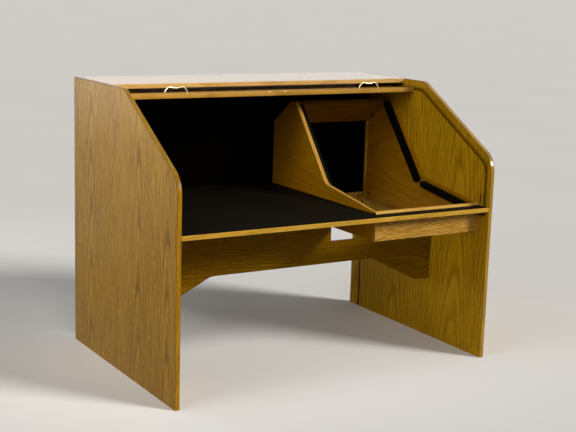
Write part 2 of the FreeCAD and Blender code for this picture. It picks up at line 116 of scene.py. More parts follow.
# Fastenings: sizes of their heads, and where those that no cleat carries sit
SCREW_RADIUS, SCREW_RISE, PULL_SCREW_RISE = 0.0040, 0.0008, 0.0012
BOLT_RADIUS, BOLT_RISE = 0.0056, 0.0024
PARTITION_HOLES = ((0.366, 0.601), (0.366, 0.937))
WELL_LEFT, WELL_RIGHT = 0.207, 0.722
RAIL_HOLES = ((0.701, 0.390, 0.586), (0.677, 0.390, 0.586))
HOOD_BOLT, HOOD_FACING = (0.708, 0.3455, 0.9902), (0.0, -0.5834, -0.8124)
HOOD_BOLT_RADIUS, HOOD_BOLT_RISE = 0.0085, 0.0050
PIN_RADIUS, PIN_RISE = 0.0042, 0.0030
PINS_ACROSS, PIN_DEPTH = (-0.041, 0.039), 0.064

# Camera: place, turn about z, tilt down, roll, and focal length in pixels of a 576 pixel wide picture
CAMERA_PLACE = (-2.671, -4.436, 1.637)
CAMERA_YAW, CAMERA_PITCH, CAMERA_ROLL = (math.radians(turn) for turn in (-31.38, 11.26, -1.73))
PICTURE_WIDTH = 576
FOCAL_PIXELS = 1198.3
SENSOR = 36.0

# Floor: its pale colours as they are looked at, and its grey for light that bounces on to the desk
FLOOR_REACH = 400.0
FLOOR_PALE = ((0.84, 0.835, 0.825), (0.88, 0.875, 0.865))
FLOOR_BOUNCE = (0.34, 0.335, 0.33)


class Finish:
    """A material that is put together from shader nodes and read from the desk's own coordinates."""

    def __init__(self, name, **constants):
        self.material = bpy.data.materials.new(name)
        self.material.use_nodes = True
        self.tree = self.material.node_tree
        self.shader = self.tree.nodes["Principled BSDF"]
        for socket, value in constants.items():
            self.shader.inputs[socket.replace("_", " ")].default_value = value
        self.place = self.add("ShaderNodeTexCoord").outputs["Object"]

    def add(self, kind, inputs=None, **settings):
        """A node with its settings, its inputs wired to sockets or set to numbers."""
        made = self.tree.nodes.new(kind)
        for key, value in settings.items():
            setattr(made, key, value)
        for key, value in (inputs or {}).items():
            if isinstance(value, bpy.types.NodeSocket):
                self.tree.links.new(value, made.inputs[key])
            else:
                made.inputs[key].default_value = value
        return made

    def axes(self):
        """The x, y and z of a spot on the desk."""
        split = self.add("ShaderNodeSeparateXYZ", {0: self.place})
        return {"x": split.outputs[0], "y": split.outputs[1], "z": split.outputs[2]}

    def math(self, operation, *values):
        """One sum, as a node."""
        return self.add("ShaderNodeMath", dict(enumerate(values)), operation=operation).outputs[0]

    def spot(self, x, y, z=0.0):
        """A vector from three values."""
        return self.add("ShaderNodeCombineXYZ", {0: x, 1: y, 2: z}).outputs[0]

    def noise(self, place, detail=2.0, roughness=0.5, scale=1.0):
        """Smooth noise about one half at a spot."""
        inputs = {"Vector": place, "Scale": scale, "Detail": detail, "Roughness": roughness}
        return self.add("ShaderNodeTexNoise", inputs).outputs[0]

    def span(self, value, low, high, start=0.0, end=1.0):
        """A value carried from one range to another and held at its ends."""
        inputs = {0: value, 1: low, 2: high, 3: start, 4: end}
        return self.add("ShaderNodeMapRange", inputs).outputs[0]

    def within(self, value, low, high):
        """One where a value lies between two limits, else nothing."""
        above = self.math("GREATER_THAN", value, low)
        return self.math("MULTIPLY", above, self.math("LESS_THAN", value, high))

    def ramp(self, value, stops):
        """A colour read from stops of (position, colour)."""
        made = self.add("ShaderNodeValToRGB", {0: value})
        band = made.color_ramp
        while len(band.elements) < len(stops):
            band.elements.new(0.5)
        for element, (position, colour) in zip(band.elements, stops):
            element.position = position
            element.color = (*colour, 1.0)
        return made.outputs[0]

    def blend(self, share, first, second, kind="MIX"):
        """Two colours mixed by a share."""
        made = self.add("ShaderNodeMix", data_type="RGBA", blend_type=kind)
        for index, value in ((0, share), (6, first), (7, second)):
            if isinstance(value, bpy.types.NodeSocket):
                self.tree.links.new(value, made.inputs[index])
            else:
                made.inputs[index].default_value = value if index == 0 else (*value, 1.0)
        return made.outputs[2]

    def relief(self, height, depth, strength=1.0):
        """A bump of a depth in metres from a height of 0 to 1."""
        inputs = {"Height": height, "Distance": depth, "Strength": strength}
        bump = self.add("ShaderNodeBump", inputs)
        self.tree.links.new(bump.outputs[0], self.shader.inputs["Normal"])

    def wire(self, socket, value):
        """Join a value to one of the shader's own sockets."""
        self.tree.links.new(value, self.shader.inputs[socket])


def oak(name, along, across, through, tones, leaf=0.5, pith=(0.2, 0.07), taper=0.035, seed=0.0, gloss=0.38,
        shine=0.05, coat=0.0, figure=1.0, ring=RING, grooved=False, upper=None, slats=None):
    """Lacquered oak with arched figure.

    A ring's radius is the distance from the pith in the plane across the grain, plus a taper along the grain
    and a slow wander, so a leaf cut beside the pith shows arches. Leaves of veneer lie side by side, each the
    mirror image of the next. Pores, ticks and streaks are noise drawn out along the grain, the pores thickest
    where a ring starts. A figure under 1 draws the tones together. A grooved panel has its track darkened by
    painted shade and by wax wear, a lipping has painted shade, a darker and greyer tone, on its upper runs,
    and slats are each cut from wood of their own, with dark joints between them.
    """
    f = Finish(name, Specular_IOR_Level=shine, Coat_Weight=coat, Coat_Roughness=0.12)
    axis = f.axes()
    axis["path"] = f.math("ADD", axis["y"], axis["z"])
    axis["track"] = f.math("SUBTRACT", axis["y"], axis["z"])
    length, width = axis[along], axis[across]
    depth = axis[through] if through else 0.0
    length = f.math("ADD", length, seed)
    if slats:
        run, start = slats
        pitches = f.math("DIVIDE", f.math("SUBTRACT", axis[run], start), SLAT_PITCH)
        number = {"W": f.math("FLOOR", pitches)}
        own = f.add("ShaderNodeTexWhiteNoise", number, noise_dimensions="1D").outputs["Value"]
        from_middle = f.math("ABSOLUTE", f.math("SUBTRACT", f.math("FRACT", pitches), 0.5))
        joint = f.span(from_middle, *SLAT_JOINT)
        length = f.math("MULTIPLY_ADD", own, 7.0, length)

    def stretched(grid, detail=2.0, roughness=0.5):
        cross, run = grid
        place = f.spot(f.math("DIVIDE", width, cross), f.math("DIVIDE", length, run),
                       f.math("DIVIDE", depth, cross) if through else seed)
        return f.noise(place, detail, roughness)

    mirrored = f.math("PINGPONG", f.math("ADD", width, leaf * seed + 0.5 * leaf), leaf)
    beside, below = pith
    aside = f.math("SUBTRACT", mirrored, beside * leaf)
    under = f.math("ADD", depth, below)
    distance = f.math("SQRT", f.math("ADD", f.math("POWER", aside, 2.0), f.math("POWER", under, 2.0)))
    wander = f.math("MULTIPLY", f.math("SUBTRACT", stretched(WANDER, 3.0), 0.5), WANDER_DEPTH)
    radial = f.math("ADD", f.math("ADD", distance, wander), f.math("MULTIPLY", length, taper))
    share = f.math("FRACT", f.math("DIVIDE", radial, ring))
    early = f.ramp(share, ((0.0, (0.55,) * 3), (0.08, (1.0,) * 3), (0.5, (0.18,) * 3), (0.93, (0.0,) * 3),
                           (1.0, (0.55,) * 3)))
    crowding = f.math("MULTIPLY_ADD", early, 0.7, 0.3)
    pores = f.math("MULTIPLY", f.span(stretched(PORE, 1.0), 0.53, 0.68), crowding)
    streak = f.span(stretched(STREAK, 3.0, 0.6), 0.34, 0.66)
    tick = f.span(stretched(TICK, 1.0), 0.36, 0.66)
    fibre = stretched(FIBRE, 1.0)
    patch = f.span(stretched(PATCH, 2.0), 0.3, 0.7)

    tone = f.math("MULTIPLY_ADD", early, 0.36, 0.0)
    tone = f.math("MULTIPLY_ADD", streak, 0.30, tone)
    tone = f.math("MULTIPLY_ADD", tick, 0.20, tone)
    tone = f.math("MULTIPLY_ADD", patch, 0.14, tone)
    tone = f.math("MULTIPLY_ADD", fibre, 0.10, tone)
    tone = f.math("MULTIPLY_ADD", pores, 0.30, tone)
    pale, middle, deep = tones
    tone = f.math("MULTIPLY_ADD", f.math("SUBTRACT", tone, 0.52), figure, 0.52)
    if slats:
        tone = f.math("MULTIPLY_ADD", f.math("SUBTRACT", own, 0.5), 0.36, tone)
        tone = f.math("MULTIPLY_ADD", joint, 0.55, tone)
    colour = f.ramp(tone, ((0.28, pale), (0.52, middle), (0.94, deep)))
    if grooved:
        colour = shade_and_wear_track(f, axis, colour)
    # Painted shade: a darker, greyer tone on the lipping's upper runs
    if upper:
        shaded_upper = f.blend(1.0, colour, upper, "MULTIPLY")
        colour = f.blend(f.math("GREATER_THAN", axis["z"], LIPPING_SHADE_HEIGHT), colour, shaded_upper)
    f.wire("Base Color", colour)
    f.wire("Roughness", f.math("MULTIPLY_ADD", pores, 0.22, gloss))
    hollows = f.math("MULTIPLY_ADD", pores, -0.8, f.math("MULTIPLY", fibre, -0.2))
    if slats:
        hollows = f.math("MULTIPLY_ADD", joint, -6.0, hollows)
    f.relief(hollows, 0.00025, 0.5)
    return f.material


def slat_run(node):
    """The axis along which the slats of a strip follow each other, and where the first of them starts."""
    low, high = (np.array(corner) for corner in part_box(node))
    run = 1 + int(np.argmax((high - low)[1:]))
    return "xyz"[run], float(low[run])


def shade_and_wear_track(f, axis, colour):
    """A panel's colour, darkened by painted shade and by wax wear in the groove of the tambour and fading out
    beside it.

    How far a spot lies outside the track is the greatest of its distances from the front, slope, top and rear
    lines, blended smoothly where two lines meet, as the track's bends do.
    """
    slope = f.math("ADD", f.math("MULTIPLY", f.math("SUBTRACT", axis["y"], SLOPE_FOOT[0]), SLOPE_OUT[0]),
                   f.math("MULTIPLY", f.math("SUBTRACT", axis["z"], SLOPE_FOOT[1]), SLOPE_OUT[1]))
    slope = f.math("ADD", slope, TRACK_INSET)
    outside = f.math("SMOOTH_MAX", f.math("SUBTRACT", TRACK_FRONT, axis["y"]), slope, FRONT_BEND)
    outside = f.math("SMOOTH_MAX", outside, f.math("SUBTRACT", axis["z"], TRACK_TOP), TOP_BEND)
    outside = f.math("SMOOTH_MAX", outside, f.math("SUBTRACT", axis["y"], TRACK_REAR), REAR_BEND)
    astray = f.math("ABSOLUTE", f.math("SUBTRACT", outside, TRACK_MIDDLE))
    deeper = f.math("SUBTRACT", f.math("ABSOLUTE", axis["x"]), PANEL_FACE)
    inner = f.math("LESS_THAN", deeper, GROOVE_FLOOR)
    above_worktop = f.math("GREATER_THAN", axis["z"], WORKTOP)
    tracked = f.math("MAXIMUM", above_worktop, f.math("GREATER_THAN", axis["y"], 0.0))
    # Painted shade, with some wax wear, along the track and fading out beside it
    fading = f.span(astray, SHADE_WEAR_NEAR, SHADE_WEAR_FAR, 0.8, 0.0)
    shaded_wear = f.math("MULTIPLY", fading, f.math("MULTIPLY", inner, tracked))
    # Painted shade on every face sunk below the panel's face, in the groove and the slot
    sunk = f.within(deeper, 0.0006, GROOVE_FLOOR)
    recess_shade = f.math("MULTIPLY", sunk, f.within(axis["y"], -SLOT_REACH, SLOT_REACH))
    recess_shade = f.math("MULTIPLY", recess_shade, f.math("GREATER_THAN", axis["z"], SLOT_FOOT))
    return f.blend(f.math("MAXIMUM", shaded_wear, recess_shade), colour, GROOVE_SHADE_AND_WAX_TONE)


def softwood(name, along, across, through):
    """Planed pine, darkened to deep browns as painted shade: straight rings with soft edges, and fibre drawn
    out along the grain.
    """
    f = Finish(name, Specular_IOR_Level=0.05)
    axis = f.axes()
    run = f.math("DIVIDE", axis[along], 0.12)
    drift = f.noise(f.spot(f.math("DIVIDE", axis[across], 0.03), run, f.math("DIVIDE", axis[through], 0.03)))
    ring = f.math("ADD", f.math("DIVIDE", axis[across], 0.0045), f.math("MULTIPLY", drift, 5.0))
    late = f.math("POWER", f.math("MULTIPLY_ADD", f.math("SINE", ring), 0.5, 0.5), 2.0)
    fibre = f.noise(f.spot(f.math("DIVIDE", axis[across], 0.0009), f.math("DIVIDE", axis[along], 0.05),
                           f.math("DIVIDE", axis[through], 0.0009)))
    tone = f.math("MULTIPLY_ADD", fibre, 0.4, f.math("MULTIPLY", late, 0.6))
    # Painted shade: deep browns where the cleats sit in shadow under the worktop and top
    f.wire("Base Color", f.ramp(tone, ((0.1, (0.085, 0.040, 0.008)), (0.9, (0.040, 0.017, 0.003)))))
    f.wire("Roughness", f.math("MULTIPLY_ADD", late, -0.12, 0.62))
    f.relief(tone, 0.0002, 0.4)
    return f.material


def chipboard():
    """Pressed wood flakes: cells drawn out a little, each with its own tone."""
    f = Finish("chipboard_core", Specular_IOR_Level=0.25)
    cell = f.add("ShaderNodeTexVoronoi", {"Vector": f.place, "Scale": 420.0, "Randomness": 1.0})
    tone = f.add("ShaderNodeSeparateXYZ", {0: cell.outputs["Color"]}).outputs[0]
    dust = f.noise(f.place, 3.0, 0.6, 1500.0)
    tone = f.math("MULTIPLY_ADD", dust, 0.3, f.math("MULTIPLY", tone, 0.7))
    f.wire("Base Color", f.ramp(tone, ((0.1, (0.50, 0.37, 0.22)), (0.9, (0.28, 0.18, 0.095)))))
    f.wire("Roughness", f.math("MULTIPLY_ADD", dust, 0.2, 0.65))
    f.relief(cell.outputs["Distance"], 0.0003, 0.4)
    return f.material


def black_sheet(name, pale, deep, grain, gloss, depth, shine):
    """A black facing: fine pebbles, with broad patches that are a little greyer and duller."""
    f = Finish(name, Specular_IOR_Level=shine)
    pebble = f.noise(f.place, 2.0, 0.55, 1.0 / grain)
    patch = f.noise(f.place, 3.0, 0.55, 4.0)
    tone = f.math("MULTIPLY_ADD", pebble, 0.5, f.math("MULTIPLY", patch, 0.5))
    f.wire("Base Color", f.ramp(tone, ((0.3, deep), (0.7, pale))))
    f.wire("Roughness", f.math("MULTIPLY_ADD", patch, 0.16, gloss))
    f.relief(pebble, depth, 0.35)
    return f.material


def metal(name, bright, dull, gloss, wear=90.0):
    """Metal with faint tarnish: patches that are darker and rougher, and hair-fine scratches."""
    f = Finish(name, Metallic=1.0)
    patch = f.span(f.noise(f.place, 4.0, 0.6, wear), 0.35, 0.7)
    scratch = f.noise(f.place, 1.0, 0.5, wear * 40.0)
    f.wire("Base Color", f.blend(patch, bright, dull))
    f.wire("Roughness", f.math("MULTIPLY_ADD", patch, 0.14, f.math("MULTIPLY_ADD", scratch, 0.06, gloss)))
    f.relief(scratch, 0.00002, 0.3)
    return f.material


def canvas():
    """Plain weave: warp and weft are two sets of rounded threads that pass over each other in turn."""
    f = Finish("canvas_weave", Roughness=0.9, Specular_IOR_Level=0.1)
    across = f.add("ShaderNodeUVMap", uv_map="cloth").outputs[0]
    split = f.add("ShaderNodeSeparateXYZ", {0: across})
    pitch = 0.0011
    warp, weft = (f.math("DIVIDE", split.outputs[i], pitch / math.pi) for i in (0, 1))
    over = f.math("MULTIPLY", f.math("SINE", warp), f.math("SINE", weft))
    threads = f.math("MULTIPLY_ADD", over, 0.5, 0.5)
    slub = f.noise(f.place, 3.0, 0.6, 160.0)
    tone = f.math("MULTIPLY_ADD", threads, 0.55, f.math("MULTIPLY", slub, 0.45))
    f.wire("Base Color", f.ramp(tone, ((0.15, (0.010, 0.008, 0.006)), (0.8, (0.036, 0.030, 0.022)))))
    f.relief(threads, 0.0002, 0.6)
    return f.material


def mesh_piece(name, points, faces, material, body, smooth_angle=None, closed=False):
    """A mesh from whole arrays of points and faces, riding on a body; a closed one is turned to face out."""
    mesh = bpy.data.meshes.new(name)
    mesh.from_pydata(points.reshape(-1, 3).tolist(), [], [tuple(face) for face in faces])
    if closed:
        work = bmesh.new()
        work.from_mesh(mesh)
        bmesh.ops.recalc_face_normals(work, faces=work.faces)
        work.to_mesh(mesh)
        work.free()
    mesh.polygons.foreach_set("use_smooth", np.full(len(mesh.polygons), True))
    if smooth_angle:
        mesh.set_sharp_from_angle(angle=math.radians(smooth_angle))
    mesh.materials.append(material)
    mesh.update()
    piece = bpy.data.objects.new(name, mesh)
    scene.collection.objects.link(piece)
    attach(piece, body)
    return piece


def grid_faces(rows, columns, wrap=False, start=0):
    """Four-sided faces between the rows and columns of a grid, joined round where it wraps."""
    row, column = np.meshgrid(np.arange(rows - 1), np.arange(columns if wrap else columns - 1), indexing="ij")
    ahead = (column + 1) % columns
    this, following = row * columns, (row + 1) * columns
    corners = (this + column, this + ahead, following + ahead, following + column)
    return start + np.stack(corners, axis=-1).reshape(-1, 4)


def capped(rings, sides, start=0):
    """Faces of a closed skin: a wrapped grid with a flat cap on its first and last ring."""
    first = start + np.arange(sides)[::-1]
    last = start + (rings - 1) * sides + np.arange(sides)
    return [*grid_faces(rings, sides, True, start).tolist(), first.tolist(), last.tolist()]


def rounded(corners, steps=10):
    """Points of a line through corners (across, up, radius), each cut by an arc touching both its runs."""
    corners = np.asarray(corners, float)
    spots, bends = corners[:, :2], corners[:, 2]
    runs = np.diff(spots, axis=0)
    runs /= np.linalg.norm(runs, axis=1, keepdims=True)
    line = [spots[:1]]
    for before, after, corner, bend in zip(runs, runs[1:], spots[1:], bends[1:]):
        turn = math.atan2(before[0] * after[1] - before[1] * after[0], before @ after)
        cut = bend * math.tan(abs(turn) / 2)
        inward = math.copysign(1.0, turn) * np.array((-before[1], before[0]))
        swing = np.linspace(0, abs(turn), steps + 1)[:, None]
        start = corner - before * cut
        line.append(start + bend * (np.sin(swing) * before + (1 - np.cos(swing)) * inward))
    line.append(spots[-1:])
    return np.concatenate(line)


def outline(low, high, front, back, steps=6):
    """A closed section between two corners, its front edges and its back edges rounded by their own radii."""
    (near, under), (far, over) = low, high
    middle = (near + far) / 2
    loop = rounded([(middle, under, 0), (near, under, front), (near, over, front), (far, over, back),
                    (far, under, back), (middle, under, 0)], steps)
    return loop[:-1]


def tube(line, side, radius, sides=24):
    """Circles square to a line that lies in a plane whose normal is side; gives rings of points."""
    ahead = np.gradient(line, axis=0)
    ahead /= np.linalg.norm(ahead, axis=1, keepdims=True)
    out = np.cross(ahead, side)
    turn = np.linspace(0, 2 * math.pi, sides, endpoint=False)
    circle = np.cos(turn)[None, :, None] * out[:, None, :] + np.sin(turn)[None, :, None] * np.asarray(side)
    return line[:, None, :] + radius * circle


def pull(side):
    """A brass wire pull: a round section carried along upright legs, leaning shoulders and a dipped grip."""
    node = f"{side}_pull"
    low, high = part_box(node)
    left = [(-reach, rise, bend) for reach, rise, bend in PULL_HALF]
    path = rounded([*left, PULL_MIDDLE, *PULL_HALF[::-1]], 14)
    middle = (low + high) / 2
    line = np.stack([middle.x + path[:, 0], np.full(len(path), middle.y), low.z + path[:, 1]], axis=1)
    rings = tube(line, np.array((0.0, 1.0, 0.0)), (high.y - low.y) / 2)
    faces = capped(*rings.shape[:2])
    piece = mesh_piece(f"{side}_wire_pull", rings, faces, brass, "lead_rail", 40, True)
    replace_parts(piece, node)


def bar(name, low, high, finish, body, front, back):
    """A straight bar along x between two corners: its section has rounded arrises."""
    section = outline(low.yz, high.yz, front, back)
    rings = np.empty((2, len(section), 3))
    rings[..., 0] = np.array((low.x, high.x))[:, None]
    rings[..., 1:] = section
    return mesh_piece(name, rings, capped(*rings.shape[:2]), finish, body, 40, True)


def strip(node, finish, body, front, back):
    """A bar with rounded arrises in place of a node."""
    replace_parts(bar(f"{node}_rounded", *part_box(node), finish, body, front, back), node)


def edge_band(name, corners, node, deep, proud, finish, arris):
    """A band along an edge: a thin section with rounded outer arrises, carried along runs and arcs."""
    low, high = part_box(node)
    line = rounded(corners, 24)
    ahead = np.gradient(line, axis=0)
    ahead /= np.linalg.norm(ahead, axis=1, keepdims=True)
    out = np.stack([ahead[:, 1], -ahead[:, 0]], axis=1)
    section = outline((-proud, low.x), (deep, high.x), arris, 0.0)
    rings = np.empty((len(line), len(section), 3))
    rings[..., 0] = section[:, 1]
    rings[..., 1:] = line[:, None, :] - section[None, :, :1] * out[:, None, :]
    return mesh_piece(name, rings, capped(*rings.shape[:2]), finish, "case", 40, True)


def open_board(name, node, rims, finish):
    """A thin board with an opening in place of a node: outer and inner rectangles, low and high, joined."""
    low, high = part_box(node)
    left, right, front, rear = rims
    outer = np.array(((low.x, low.y), (high.x, low.y), (high.x, high.y), (low.x, high.y)))
    inner = outer + np.array(((left, front), (-right, front), (-right, -rear), (left, -rear)))
    rings = np.empty((4, 4, 3))
    rings[..., :2] = np.stack([outer, outer, inner, inner])
    rings[..., 2] = np.array((low.z, high.z, high.z, low.z))[:, None]
    faces = grid_faces(5, 4, True) % 16
    piece = mesh_piece(name, rings, faces.tolist(), finish, "case", 40, True)
    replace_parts(piece, node)


def canvas_sheet(stretch):
    """Canvas glued behind a strip of slats: a flat sheet that dents a little at each gap between slats."""
    node = f"tambour_{stretch}_cloth"
    low, high = (np.array(corner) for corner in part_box(node))
    thin = int(np.argmin(high - low))
    run = 3 - thin
    slats_at = (np.array(corner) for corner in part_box(f"tambour_{stretch}_strip"))
    slat_side = np.sign(np.mean([corner[thin] for corner in slats_at]) - (low[thin] + high[thin]) / 2)
    length, width = high[run] - low[run], high[0] - low[0]
    gaps = round(length / SLAT_PITCH)
    along = np.linspace(0, 1, gaps * 12 + 1)
    across = np.linspace(0, 1, 41)
    u, v = np.meshgrid(across, along, indexing="ij")
    points = np.zeros((*u.shape, 3))
    points[..., 0] = low[0] + u * width
    points[..., run] = low[run] + v * length
    dent = CANVAS_DENT * np.cos(math.pi * gaps * v) ** 16
    points[..., thin] = (low[thin] + high[thin]) / 2 + slat_side * dent
    faces = grid_faces(*u.shape)
    if np.cross(points[1, 0] - points[0, 0], points[0, 1] - points[0, 0])[thin] * slat_side > 0:
        faces = faces[:, ::-1]
    carrier = f"tambour_{stretch}_strip"
    piece = mesh_piece(f"tambour_{stretch}_canvas", points, faces.tolist(), canvas_cloth, carrier)
    sheet_uv = piece.data.uv_layers.new(name="cloth")
    loops = np.zeros(len(piece.data.loops), np.int32)
    piece.data.loops.foreach_get("vertex_index", loops)
    flat = np.stack([u * width, v * length], axis=-1).reshape(-1, 2)
    sheet_uv.data.foreach_set("uv", flat[loops].ravel())
    body = piece.modifiers.new("thickness", "SOLIDIFY")
    body.thickness = CANVAS_THICKNESS
    body.offset = 0.0
    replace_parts(piece, node)


def heads(name, places, facing, radius, rise, recess, material, body, sides=32, rings=12):
    """Screw heads in one piece: a low dome over each place, with a recess pressed in where a mask says.

    On a polar grid the height is the dome's parabola less the recess depth times the mask.
    """
    facing = np.asarray(facing, float)
    lift = np.array((0.0, 0.0, 1.0)) if abs(facing[2]) < 0.5 else np.array((0.0, 1.0, 0.0))
    right = np.cross(lift, facing)
    right /= np.linalg.norm(right)
    up = np.cross(facing, right)
    share, turn = np.meshgrid(np.linspace(0.02, 1, rings), np.linspace(0, 2 * math.pi, sides, endpoint=False),
                              indexing="ij")
    across, aloft = share * np.cos(turn), share * np.sin(turn)
    height = rise * (1 - share ** 2) - recess(across, aloft) * radius
    skirt = np.full((1, sides), -0.1 * radius)
    across, aloft = np.vstack([across, across[-1:]]), np.vstack([aloft, aloft[-1:]])
    height = np.vstack([height, skirt])
    head = (across[..., None] * radius * right + aloft[..., None] * radius * up + height[..., None] * facing)
    places = np.asarray(places, float)
    points = places[:, None, None, :] + head[None]
    count = head.shape[0] * sides
    faces = [face for i in range(len(places)) for face in capped(head.shape[0], sides, i * count)]
    return mesh_piece(name, points, faces, material, body, 40, True)


def cross_recess(across, aloft):
    """A cross: deep where a spot lies near either axis and not too far out."""
    near, far = np.minimum(abs(across), abs(aloft)), np.maximum(abs(across), abs(aloft))
    return 0.32 * np.clip((0.20 - near) / 0.08, 0, 1) * np.clip((0.66 - far) / 0.1, 0, 1)


def hex_recess(across, aloft):
    """A hexagon: deep where a spot lies inside six flats."""
    turned = [abs(across * math.cos(a) + aloft * math.sin(a)) for a in (0, math.pi / 3, 2 * math.pi / 3)]
    return 0.6 * np.clip((0.55 - np.max(turned, axis=0)) / 0.08, 0, 1)


def no_recess(across, aloft):
    """Nothing pressed in."""
    return np.zeros_like(across)


def along_face(node, axis, at, count):
    """Places in a row down the middle of a straight piece's face: at is 0 for the low one, 1 for the high."""
    low, high = (np.array(corner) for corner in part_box(node))
    run = int(np.argmax(high - low))
    places = np.tile((low + high) / 2, (count, 1))
    places[:, axis] = (low, high)[at][axis]
    places[:, run] = low[run] + (high[run] - low[run]) * (np.arange(count) + 0.5) / count
    return places


def looked_at(tree):
    """One for rays from the camera, from a glossy face or through glass, and nothing for other rays."""
    rays = tree.nodes.new("ShaderNodeLightPath").outputs
    found = rays["Is Camera Ray"]
    for kind in ("Is Glossy Ray", "Is Transmission Ray"):
        either = tree.nodes.new("ShaderNodeMath")
        either.operation = "MAXIMUM"
        tree.links.new(found, either.inputs[0])
        tree.links.new(rays[kind], either.inputs[1])
        found = either.outputs[0]
    return found


def dress(material, *names):
    """Give a finish to nodes of the desk."""
    for name in names:
        slots = nodes[name].data.materials
        slots.clear()
        slots.append(material)


# Finishes
brass = metal("brass_wire", (0.92, 0.80, 0.52), (0.74, 0.58, 0.28), 0.14)
plated = metal("yellow_plated_screw", (0.62, 0.52, 0.30), (0.40, 0.32, 0.16), 0.28, 400.0)
black_steel = metal("black_steel_bolt", (0.012, 0.010, 0.008), (0.005, 0.004, 0.003), 0.40, 400.0)
canvas_cloth = canvas()
left_edge_oak = oak("oak_left_lipping", "path", "x", None, EDGE_TONES, leaf=0.08, pith=(0.5, 0.05), seed=2.1,
                    gloss=0.26, shine=0.12, figure=0.6, upper=(0.66, 0.70, 0.60))
right_edge_oak = oak("oak_right_lipping", "path", "x", None, RIGHT_EDGE_TONES, leaf=0.08, pith=(0.5, 0.05),
                     seed=2.7, gloss=0.26, shine=0.16, coat=0.5, figure=0.6)
rail_oak, lip_oak, work_lip_oak, well_lip_edge_and_highlight_oak = (
    oak(name, "x", "z", "y", tones, leaf=0.08, pith=(0.5, 0.4), seed=seed, gloss=0.30, figure=0.5)
    for name, tones, seed in (("oak_rail", RAIL_TONES, 4.9), ("oak_top_lipping", LIP_TONES, 5.6),
                              ("oak_worktop_lipping", WORK_LIP_TONES, 4.2),
                              ("oak_well_lip_edge_and_highlight", WELL_LIP_EDGE_AND_HIGHLIGHT_TONES, 5.1)))
right_well_edge_oak = oak("oak_right_well_edge", "path", "x", None, WELL_TONES, leaf=0.08, pith=(0.5, 0.05),
                          seed=6.6, figure=0.6)
well_edge_oak = oak("oak_well_edge", "path", "x", None, RAIL_TONES, leaf=0.08, pith=(0.5, 0.05), seed=6.1,
                    gloss=0.30, figure=0.6)

dress(oak("oak_left_panel", "z", "y", "x", PANEL_TONES, leaf=0.38, pith=(0.35, 0.80), taper=0.08, seed=0.3,
          gloss=0.30, shine=0.14, ring=BROAD_RING, grooved=True),
      "left_side_panel")
dress(oak("oak_right_panel", "z", "y", "x", RIGHT_TONES, leaf=0.38, pith=(0.6, -0.66), taper=0.08, seed=1.7,
          figure=0.7, ring=BROAD_RING, grooved=True),
      "right_side_panel")
dress(oak("oak_top", "x", "y", "z", TOP_TONES, leaf=0.40, pith=(0.4, -1.12), seed=3.3, gloss=0.25, shine=0.3,
          coat=0.9),
      "top_panel")
# Painted shade: the stretcher's tones are darkened where it sits in shade under the worktop
dress(oak("oak_stretcher", "x", "z", "y", STRETCHER_SHADED_TONES, leaf=0.45, pith=(0.5, 0.19), seed=5.2, shine=0.02,
          figure=0.7),
      "stretcher")
dress(oak("oak_partition", "y", "z", "x", WELL_TONES, leaf=0.5, pith=(0.5, 0.0), seed=6.4, figure=0.4),
      "well_left_partition", "well_right_partition")
dress(oak("oak_well_panel", "x", "z", "y", RAIL_TONES, leaf=0.5, pith=(0.5, 0.47), taper=0.16, seed=7.7,
          figure=1.5),
      "well_front_panel")
# Painted shade: the hood's tones are darkened where it sits in shade under the top and rail
dress(oak("oak_hood", "x", "z", "y", HOOD_SHADED_TONES, leaf=0.5, pith=(0.5, -0.2), taper=0.05, seed=7.1,
          figure=0.7),
      "well_hood")
dress(oak("oak_well_rail", "x", "z", "y", POST_TONES, leaf=0.1, pith=(0.5, 0.2), seed=9.1), "well_rear_rail")
# The lip band's pale tones are partly paler edge wood and partly a painted highlight of the key light
cap_low, cap_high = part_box("well_front_panel")
bar("well_lip_band", Vector((cap_low.x, cap_low.y - BANDING, WORKTOP)), cap_high + Vector((0, 0, BANDING)),
    well_lip_edge_and_highlight_oak, "case", BANDING, 0.0)
open_board("well_floor_rim", "well_floor", FLOOR_RIMS,
           oak("oak_well_floor", "y", "x", "z", WELL_TONES, leaf=0.5, pith=(0.5, -0.5), seed=8.1))
dress(oak("oak_post", "z", "x", "y", POST_TONES, leaf=0.1, pith=(0.5, 0.05), seed=8.9),
      "well_left_rear_post", "well_right_rear_post")
dress(oak("oak_slat", "x", "track", None, SLAT_TONES, leaf=0.07, pith=(0.4, 0.03), seed=9.5, figure=0.55),
      *(name for name in nodes if name.startswith("tambour_") and "slat" in name))
for name in (f"tambour_{stretch}_strip" for stretch in STRETCHES):
    dress(oak(f"oak_{name}", "x", "track", None, SLAT_TONES, leaf=0.07, pith=(0.4, 0.03), seed=9.5,
              figure=0.55, slats=slat_run(name)),
          name)
dress(softwood("pine_cleat_level", "y", "x", "z"), "worktop_rear_cleat", "worktop_left_cleat",
      "worktop_right_cleat", "top_left_cleat", "top_right_cleat")
dress(softwood("pine_cleat_upright", "z", "x", "y"), "stretcher_left_cleat", "stretcher_right_cleat")
dress(chipboard(), "worktop_core")
dress(black_sheet("black_laminate", (0.0056, 0.0046, 0.0028), (0.0032, 0.0026, 0.0014),
                  grain=0.0014, gloss=0.52, depth=0.0001, shine=0.02),
      "worktop_laminate")
dress(black_sheet("black_back_board", (0.0020, 0.0014, 0.0010), (0.0008, 0.0006, 0.0004),
                  grain=0.003, gloss=0.62, depth=0.0002, shine=0.0),
      "inner_back")
dress(black_sheet("black_batten_paint", (0.0030, 0.0024, 0.0020), (0.0013, 0.0010, 0.0008),
                  grain=0.004, gloss=0.55, depth=0.0002, shine=0.03),
      *(name for name in nodes if name.endswith("batten")))

